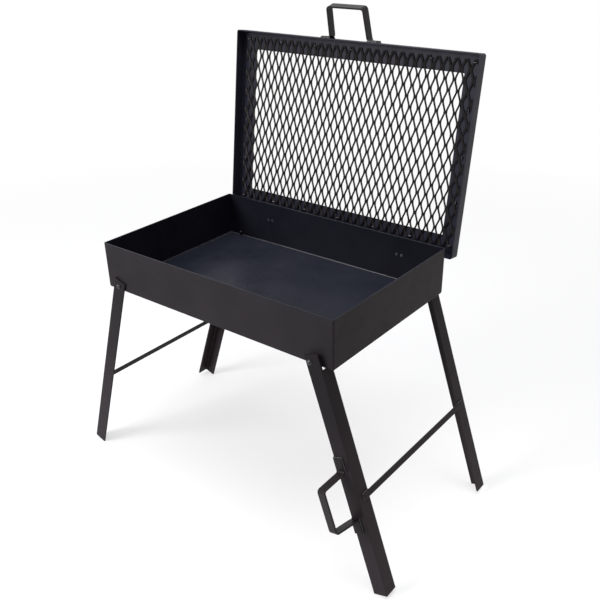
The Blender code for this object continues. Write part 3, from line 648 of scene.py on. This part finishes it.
def nut_mesh(width, height):
    """A hexagon nut whose corners and rims are eased. Its height runs from 0 up."""
    corner = width / math.sqrt(3)
    mesh = ring_mesh("nut", [(0, 0), (corner, 0), (corner, height), (0, height)], sides=6, flat=True)
    bm = bmesh.new()
    bm.from_mesh(mesh)
    sharp = [edge for edge in bm.edges if edge.calc_face_angle(0) > SHARP_FROM]
    bmesh.ops.bevel(bm, geom=sharp, offset=EDGE_ROUND, segments=NUT_ROUND_STEPS, profile=NUT_ROUND_SHAPE,
                    affect="EDGES")
    bmesh.ops.recalc_face_normals(bm, faces=bm.faces)
    bm.to_mesh(mesh)
    bm.free()
    return mesh


def turned_copies():
    """A tree that sets an object on each point, turned about X by the point's own angle."""
    tree, start, out, ids = new_tree("turned_copies", [("Copied piece", "Object"), ("Finish", "Material")])
    angle = join_up(tree, "GeometryNodeInputNamedAttribute", values=[("Name", "turn")], data_type="FLOAT")
    turn = join_up(tree, "ShaderNodeCombineXYZ", [("X", angle.outputs[0])])
    piece = join_up(tree, "GeometryNodeObjectInfo", [("Object", start.outputs["Copied piece"])])
    copies = join_up(tree, "GeometryNodeInstanceOnPoints", [
        ("Points", start.outputs["Mesh"]), ("Instance", piece.outputs["Geometry"]),
        ("Rotation", turn.outputs[0])])
    end_tree(tree, copies.outputs[0], start.outputs["Finish"], out)
    return tree, ids


def set_copies(maker, mesh, places, name, finish):
    """Copies of a mesh at the given points and turns about X, as one plain piece."""
    tree, ids = maker
    master = bpy.data.objects.new(name + "_master", mesh)
    bpy.context.scene.collection.objects.link(master)
    points = bpy.data.meshes.new(name)
    points.from_pydata([place for place, _ in places], [], [])
    turns = points.attributes.new("turn", "FLOAT", "POINT")
    for item, (_, turn) in zip(turns.data, places):
        item.value = turn
    piece = run_tree(tree, ids, points, {"Copied piece": master, "Finish": finish}, name)
    bpy.data.objects.remove(master)
    return piece


def box_of(corners):
    """The lowest and highest corners of the box round some points."""
    return [Vector([pick(corner[axis] for corner in corners) for axis in range(3)]) for pick in (min, max)]


def node_box(node, turned=None):
    """A node's lowest and highest corners, after a turn if one is given."""
    return box_of([vertex.co if turned is None else turned @ vertex.co
                   for vertex in frame["nodes"][node].data.vertices])


def feet_box(node, turned):
    """The box of a handle's two feet alone, after a turn that lays them against +Y."""
    corners = [turned @ vertex.co for vertex in frame["nodes"][node].data.vertices]
    against = max(corner.y for corner in corners)
    return box_of([corner for corner in corners if corner.y > against - HANDLE_FOOT_HEIGHT])


def build_bolts(maker):
    """The four pivot bolts, their nuts and the two spacers."""
    nuts = []
    for side in ("left", "right"):
        places = []
        for end_name, end in (("front", -1), ("rear", 1)):
            low, high = node_box(end_name + "_" + side + "_bolt")
            x, z = (low.x + high.x) / 2, (low.z + high.z) / 2
            seat = (high.y if end > 0 else low.y) - end * BOLT_HEAD_HEIGHT
            places.append(((x, seat, z), -end * math.pi / 2))
            nut_low, nut_high = node_box(end_name + "_" + side + "_nut")
            nuts.append(((x, nut_low.y if end > 0 else nut_high.y, z), -end * math.pi / 2))
        length = high.y - low.y
        thread = nut_high.y - low.y + BOLT_BARE_THREAD
        profile = bolt_profile((high.x - low.x) / 2, BOLT_HEAD_HEIGHT, BOLT_RADIUS, length, thread)
        name = side + "_pivot_bolts"
        piece = set_copies(maker, ring_mesh(name, profile), places, name, BOLT_STEEL)
        bolts = [end_name + "_" + side + "_bolt" for end_name in ("front", "rear")]
        carry(piece, "tray", bolts)
    piece = set_copies(maker, nut_mesh(NUT_WIDTH, nut_high.y - nut_low.y), nuts, "pivot_nuts", BOLT_STEEL)
    carry(piece, "tray", [end_name + "_" + side + "_nut" for side in ("left", "right")
                                         for end_name in ("front", "rear")])
    spacers = ["front_right_spacer", "rear_right_spacer"]
    boxes = [node_box(node) for node in spacers]
    places = [((low + high) / 2, math.pi / 2) for low, high in boxes]
    low, high = boxes[0]
    outer, half = (high.x - low.x) / 2, (high.y - low.y) / 2
    inner = BOLT_RADIUS + 2 * EDGE_ROUND
    ring = [(outer, EDGE_ROUND - half), (outer, half - EDGE_ROUND), (outer - EDGE_ROUND, half), (inner, half),
            (inner, -half), (outer - EDGE_ROUND, -half)]
    piece = set_copies(maker, ring_mesh("spacers", ring), places, "leg_spacers", BOLT_STEEL)
    carry(piece, "tray", spacers)


def build_rivets(maker):
    """The rivets of the hinge leaves and the two hinge pins."""
    for body, kind, turned in (("tray", "tray_rivet", None), ("lid", "lid_rivet", open_lid().inverted())):
        nodes = [side + "_" + kind + "_" + number for side in ("left", "right") for number in "12"]
        places = []
        for node in nodes:
            low, high = node_box(node, turned)
            places.append((((low.x + high.x) / 2, high.y - RIVET_HEAD_HEIGHT, (low.z + high.z) / 2),
                           -math.pi / 2))
        profile = rivet_profile((high.x - low.x) / 2, RIVET_HEAD_HEIGHT, RIVET_RADIUS, high.y - low.y,
                                RIVET_HEAD_HEIGHT / 2)
        piece = set_copies(maker, ring_mesh(kind + "s", profile), places, kind + "s", HINGE_STEEL)
        if turned is not None:
            piece.data.transform(open_lid())
        carry(piece, body, nodes)
    nodes = ["left_hinge_pin", "right_hinge_pin"]
    boxes = [node_box(node) for node in nodes]
    low, high = boxes[0]
    head, half = (high.z - low.z) / 2, (high.x - low.x) / 2
    side = domed_top(head, PIN_HEAD_HEIGHT)
    profile = [(radius, height + half - PIN_HEAD_HEIGHT) for radius, height in side]
    profile += [(PIN_RADIUS, half - PIN_HEAD_HEIGHT)]
    profile += [(radius, -height) for radius, height in reversed(profile)]
    mesh = ring_mesh("hinge_pins", profile)
    mesh.transform(Matrix.Rotation(math.pi / 2, 4, "Y"))
    piece = set_copies(maker, mesh, [((low + high) / 2, 0) for low, high in boxes], "hinge_pins", HINGE_STEEL)
    carry(piece, "tray", nodes)


def bead_row():
    """A tree that lays overlapping weld beads along its mesh's edges, each a little different."""
    tree, start, out, ids = new_tree("bead_row", [
        ("Spacing", "Float"), ("Radius", "Float"), ("Stray", "Float"), ("Seed", "Int"),
        ("Finish", "Material")])
    curve = join_up(tree, "GeometryNodeMeshToCurve", [("Mesh", start.outputs["Mesh"])])
    points = join_up(tree, "GeometryNodeResampleCurve", [("Curve", curve.outputs[0]),
                                                         ("Length", start.outputs["Spacing"])], mode="LENGTH")
    bead = join_up(tree, "GeometryNodeMeshUVSphere", [("Radius", start.outputs["Radius"])],
                   [("Segments", BEAD_SEGMENTS), ("Rings", BEAD_RINGS)])
    lowest = join_up(tree, "ShaderNodeMath", [(1, start.outputs["Stray"])], [(0, 1.0)], operation="SUBTRACT")
    highest = join_up(tree, "ShaderNodeMath", [(1, start.outputs["Stray"])], [(0, 1.0)], operation="ADD")
    size = join_up(tree, "FunctionNodeRandomValue", [(2, lowest.outputs[0]), (3, highest.outputs[0]),
                                                     ("Seed", start.outputs["Seed"])], data_type="FLOAT")
    turn = join_up(tree, "FunctionNodeRandomValue", [("Seed", start.outputs["Seed"])],
                   [(1, (2 * math.pi,) * 3)], data_type="FLOAT_VECTOR")
    copies = join_up(tree, "GeometryNodeInstanceOnPoints", [
        ("Points", points.outputs[0]), ("Instance", bead.outputs["Mesh"]), ("Rotation", turn.outputs[0]),
        ("Scale", size.outputs[1])])
    smooth = join_up(tree, "GeometryNodeSetShadeSmooth", [("Geometry", copies.outputs[0])])
    end_tree(tree, smooth.outputs[0], start.outputs["Finish"], out)
    return tree, ids


def leg_frame(side):
    """Where a leg pair's own upright frame stands, splayed about its pivots."""
    point, _, _ = hinge(LEG_JOINTS[side])
    tray_low, tray_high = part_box("tray")
    point = Vector((point.x, (tray_low.y + tray_high.y) / 2, point.z))
    return Matrix.Translation(point) @ Matrix.Rotation(-side * LEG_SPLAY, 4, "Y")


def brace_welds(side, node):
    """Lines round both ends of a brace, where it lies on the legs."""
    into = leg_frame(side).inverted()
    low, high = node_box(node, into)
    x = low.x if side > 0 else high.x
    x += side * BEAD_SINK
    lines = []
    for end, tip in ((-1, low.y), (1, high.y)):
        inner = tip - end * BRACE_LAP
        lines.append([(x, inner, low.z), (x, tip, low.z), (x, tip, high.z), (x, inner, high.z)])
    return lines


def foot_welds(low, high, face, foot, across, along):
    """Lines round a handle's two feet: their far ends and both long sides, on the plane they lie on."""
    lines = []
    for end, tip in ((-1, low[along]), (1, high[along])):
        inner = tip - end * foot
        line = []
        for first, second in ((low[across], inner), (low[across], tip), (high[across], tip),
                              (high[across], inner)):
            point = Vector(face)
            point[across] = first
            point[along] = second
            line.append(point)
        lines.append(line)
    return lines


def lay_beads(maker, lines, placed, name, body, radius=BEAD_RADIUS, spacing=BEAD_SPACING):
    """Weld beads along lines of a frame, as one plain piece."""
    tree, ids = maker
    points, edges = [], []
    for line in lines:
        edges += [(len(points) + step, len(points) + step + 1) for step in range(len(line) - 1)]
        points += [placed @ Vector(point) for point in line]
    mesh = bpy.data.meshes.new(name)
    mesh.from_pydata(points, edges, [])
    piece = run_tree(tree, ids, mesh, {"Spacing": spacing, "Radius": radius, "Stray": STRAY,
                                       "Seed": WELD_SEED, "Finish": WELD_PAINT}, name)
    carry(piece, body)


def even_places(first, last, steps):
    """Evenly spaced places from the first to the last."""
    return [first + (last - first) * step / steps for step in range(steps + 1)]


def build_welds():
    """The weld beads of braces, handles, lid stops and expanded metal."""
    maker = bead_row()
    still = Matrix.Identity(4)
    for side, name in ((-1, "left"), (1, "right")):
        placed = leg_frame(side)
        lines = brace_welds(side, name + "_brace")
        if side > 0:
            low, high = feet_box("leg_handle", placed.inverted())
            lines += foot_welds(low, high, (0, high.y - BEAD_SINK, 0), LEG_FOOT, 0, 2)
        lay_beads(maker, lines, placed, name + "_leg_welds", name + "_legs")
    stops = []
    for name in ("left_lid_stop", "right_lid_stop"):
        low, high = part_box(name)
        for x in (low.x, high.x):
            stops.append([(x, low.y, low.z + BEAD_RADIUS), (x, low.y, high.z - BEAD_RADIUS)])
    lay_beads(maker, stops, still, "tray_welds", "tray")
    opened = open_lid()
    shut = opened.inverted()
    low, high = feet_box("lid_handle", shut)
    lines = foot_welds(low, high, (0, high.y - BEAD_SINK, 0), LID_FOOT, 2, 0)
    lay_beads(maker, lines, opened, "lid_welds", "lid")
    low, high = node_box("lid_mesh", shut)
    tacks = []
    for x in even_places(low.x + TACK_INSET, high.x - TACK_INSET, TACK_STEPS_ACROSS):
        for y in (low.y + TACK_INSET, high.y - TACK_INSET):
            tacks.append([(x - TACK_LENGTH / 2, y, low.z), (x + TACK_LENGTH / 2, y, low.z)])
    for y in even_places(low.y + TACK_INSET, high.y - TACK_INSET, TACK_STEPS_ALONG)[1:-1]:
        for x in (low.x + TACK_INSET, high.x - TACK_INSET):
            tacks.append([(x, y - TACK_LENGTH / 2, low.z), (x, y + TACK_LENGTH / 2, low.z)])
    lay_beads(maker, tacks, opened, "mesh_tacks", "lid", TACK_RADIUS, TACK_LENGTH / 2)


def paint_floor_light_and_wall_shade(tray):
    """Painted light and shade inside the tray: a bluish lit copy of its paint on the upward floor, and a
    darker shaded copy on the inner sides of its walls.
    """
    low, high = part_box("tray")
    for face in tray.data.polygons:
        middle = face.center
        within = [low[axis] + INSIDE_REACH < middle[axis] < high[axis] - INSIDE_REACH for axis in (0, 1)]
        if face.material_index == 0 and middle.z > low.z + INSIDE_REACH and all(within):
            # Upward faces take the painted light, the inner walls the painted shade
            face.material_index = 2 if abs(face.normal.z) > WALL_TURN else 3


def build_soft_edges():
    """The sheet, bars, straps and leaves again with rounded edges, in place of the nodes."""
    pieces = [("tray", "tray", "tray_paint", SHEET_EDGE, [TRAY_PAINT, SHEET_EDGE_HIGHLIGHT]),
              ("lid_frame", "lid", "lid_paint", SHEET_EDGE, [LID_PAINT, SHEET_EDGE_HIGHLIGHT]),
              ("lid_handle", "lid", "handle_paint", BAR_EDGE, [HANDLE_PAINT, BAR_EDGE_HIGHLIGHT]),
              ("leg_handle", "right_legs", "handle_paint", BAR_EDGE, [HANDLE_PAINT, BAR_EDGE_HIGHLIGHT])]
    for side in ("left", "right"):
        legs = side + "_legs"
        for node in (side + "_brace", "front_" + side + "_leg", "rear_" + side + "_leg"):
            pieces.append((node, legs, "leg_paint", BAR_EDGE, [LEG_PAINT, BAR_EDGE_HIGHLIGHT]))
        pieces.append((side + "_lid_stop", "tray", "tray_paint", SHEET_EDGE, [TRAY_PAINT, SHEET_EDGE_HIGHLIGHT]))
        for leaf, body in ((side + "_tray_leaf", "tray"), (side + "_lid_leaf", "lid")):
            pieces.append((leaf, body, "hinge_finish", LEAF_EDGE, [HINGE_STEEL, HINGE_STEEL]))
    for node, body, slot, width, finishes in pieces:
        piece = soften(node + "_rounded", node, width, finishes)
        if node == "tray":
            # The tray's painted light on the floor and painted shade on the inner walls
            for finish in (FLOOR_LIGHT_PAINT, WALL_SHADE_PAINT):
                piece.data.materials.append(finish)
            paint_floor_light_and_wall_shade(piece)
        carry(piece, body, [node])


def build_floor_fillet():
    """The round run of paint where the tray's floor turns up into its walls."""
    low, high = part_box("tray")
    profile = []
    for step in range(FILLET_STEPS + 1):
        angle = math.pi / 2 * step / FILLET_STEPS
        profile.append((FILLET_RADIUS * (1 - math.cos(angle)), FILLET_RADIUS * (1 - math.sin(angle))))
    profile.append((0, 0))
    bm = bmesh.new()
    rings = []
    for out, up in profile:
        x = (high.x - low.x) / 2 - TRAY_WALL - out
        y = (high.y - low.y) / 2 - TRAY_WALL - out
        middle = (low + high) / 2
        rings.append([bm.verts.new((middle.x + sign_x * x, middle.y + sign_y * y, low.z + TRAY_WALL + up))
                      for sign_x, sign_y in ((-1, -1), (1, -1), (1, 1), (-1, 1))])
    rings.append(rings[0])
    for first, second in zip(rings, rings[1:]):
        for side in range(4):
            following = (side + 1) % 4
            bm.faces.new((first[side], first[following], second[following], second[side]))
    bmesh.ops.recalc_face_normals(bm, faces=bm.faces)
    for face in bm.faces:
        face.smooth = True
    mesh = bpy.data.meshes.new("floor_fillet")
    bm.to_mesh(mesh)
    bm.free()
    mesh.set_sharp_from_angle(angle=SHARP_FROM)
    carry(piece_from("floor_fillet", mesh, [BEND_PAINT]), "tray")


def build_fasteners():
    """Bolts, nuts, spacers, rivets and hinge pins, each kind copied onto its places."""
    maker = turned_copies()
    build_bolts(maker)
    build_rivets(maker)


# Studio


def build_camera():
    """The camera where the photograph was taken from."""
    data = bpy.data.cameras.new("camera")
    camera = bpy.data.objects.new("camera", data)
    bpy.context.scene.collection.objects.link(camera)
    turn = Matrix((CAMERA_RIGHT, CAMERA_UP, -Vector(CAMERA_AHEAD))).transposed().to_4x4()
    camera.matrix_world = Matrix.Translation(CAMERA_PLACE) @ turn
    data.sensor_width = SENSOR
    data.lens = FOCAL_LENGTH * SENSOR / PICTURE_SIZE
    data.shift_x = (PICTURE_SIZE / 2 - PICTURE_CENTRE[0]) / PICTURE_SIZE
    data.shift_y = (PICTURE_CENTRE[1] - PICTURE_SIZE / 2) / PICTURE_SIZE
    data.clip_start = CLIP_NEAR
    data.clip_end = CLIP_FAR
    bpy.context.scene.camera = camera


def add_lamp(name, place, aim, size, power, colour=(1, 1, 1)):
    """A soft square lamp that faces a point."""
    data = bpy.data.lights.new(name, "AREA")
    data.size = size
    data.energy = power
    data.color = colour
    lamp = bpy.data.objects.new(name, data)
    bpy.context.scene.collection.objects.link(lamp)
    lamp.location = place
    lamp.rotation_euler = (Vector(aim) - Vector(place)).to_track_quat("-Z", "Y").to_euler()


def seen_share(tree):
    """1 for rays from the camera, from gloss and through glass, and 0 for the light that spreads."""
    path = tree.nodes.new("ShaderNodeLightPath")
    total = path.outputs["Is Camera Ray"]
    for other in ("Is Glossy Ray", "Is Transmission Ray"):
        node = tree.nodes.new("ShaderNodeMath")
        node.operation = "MAXIMUM"
        tree.links.new(total, node.inputs[0])
        tree.links.new(path.outputs[other], node.inputs[1])
        total = node.outputs[0]
    return total


def build_surround():
    """A white surround that lights the grill at a plain level."""
    world = bpy.data.worlds.new("surround")
    world.use_nodes = True
    bpy.context.scene.world = world
    tree = world.node_tree
    background = tree.nodes["Background"]
    background.inputs["Color"].default_value = WHITE
    strength = spread(tree, seen_share(tree), SURROUND_LEVEL, SEEN_LEVEL, from_low=0, from_high=1)
    tree.links.new(strength, background.inputs["Strength"])


def floor_finish():
    """Pale matt paper that keeps the grill's shadow and fades into the white surround."""
    finish, tree, shader, place = new_finish("pale_floor")
    grain = noise(tree, place, FLOOR_GRAIN, detail=3)
    paper = blend_colours(tree, grain, (FLOOR_SHADE - FLOOR_MOTTLE,) * 3, (FLOOR_SHADE + FLOOR_MOTTLE,) * 3)
    tree.links.new(paper, shader.inputs["Base Color"])
    normal = bump(tree, grain, FLOOR_GRAIN_DEPTH, strength=FLOOR_GRAIN_STRENGTH)
    tree.links.new(normal, shader.inputs["Normal"])
    shader.inputs["Roughness"].default_value = FLOOR_ROUGHNESS
    shader.inputs["Specular IOR Level"].default_value = FLOOR_GLOSS
    distance = tree.nodes.new("ShaderNodeVectorMath")
    distance.operation = "LENGTH"
    tree.links.new(place, distance.inputs[0])
    near, far = FLOOR_FADE
    white = spread(tree, distance.outputs["Value"], FLOOR_OWN_WHITE, 1, from_low=near, from_high=far)
    share = tree.nodes.new("ShaderNodeMath")
    share.operation = "MULTIPLY"
    tree.links.new(white, share.inputs[0])
    tree.links.new(seen_share(tree), share.inputs[1])
    glow = tree.nodes.new("ShaderNodeEmission")
    mix = tree.nodes.new("ShaderNodeMixShader")
    tree.links.new(share.outputs[0], mix.inputs[0])
    tree.links.new(shader.outputs[0], mix.inputs[1])
    tree.links.new(glow.outputs[0], mix.inputs[2])
    tree.links.new(mix.outputs[0], tree.nodes["Material Output"].inputs["Surface"])
    return finish


def build_floor():
    """A wide pale floor just under the feet."""
    bm = bmesh.new()
    bmesh.ops.create_circle(bm, cap_ends=True, segments=FLOOR_SIDES, radius=FLOOR_RADIUS)
    mesh = bpy.data.meshes.new("floor")
    bm.to_mesh(mesh)
    bm.free()
    mesh.transform(Matrix.Translation((0, 0, -FLOOR_DROP)))
    floor = bpy.data.objects.new("floor", mesh)
    bpy.context.scene.collection.objects.link(floor)
    mesh.materials.append(floor_finish())


def build_studio():
    """The surround, the floor and the soft lamps."""
    build_surround()
    build_floor()
    for lamp in LAMPS:
        add_lamp(*lamp)
    bpy.context.scene.view_settings.view_transform = "Standard"


build_soft_edges()
build_floor_fillet()
build_fasteners()
build_welds()
build_expanded_metal()
build_camera()
build_studio()
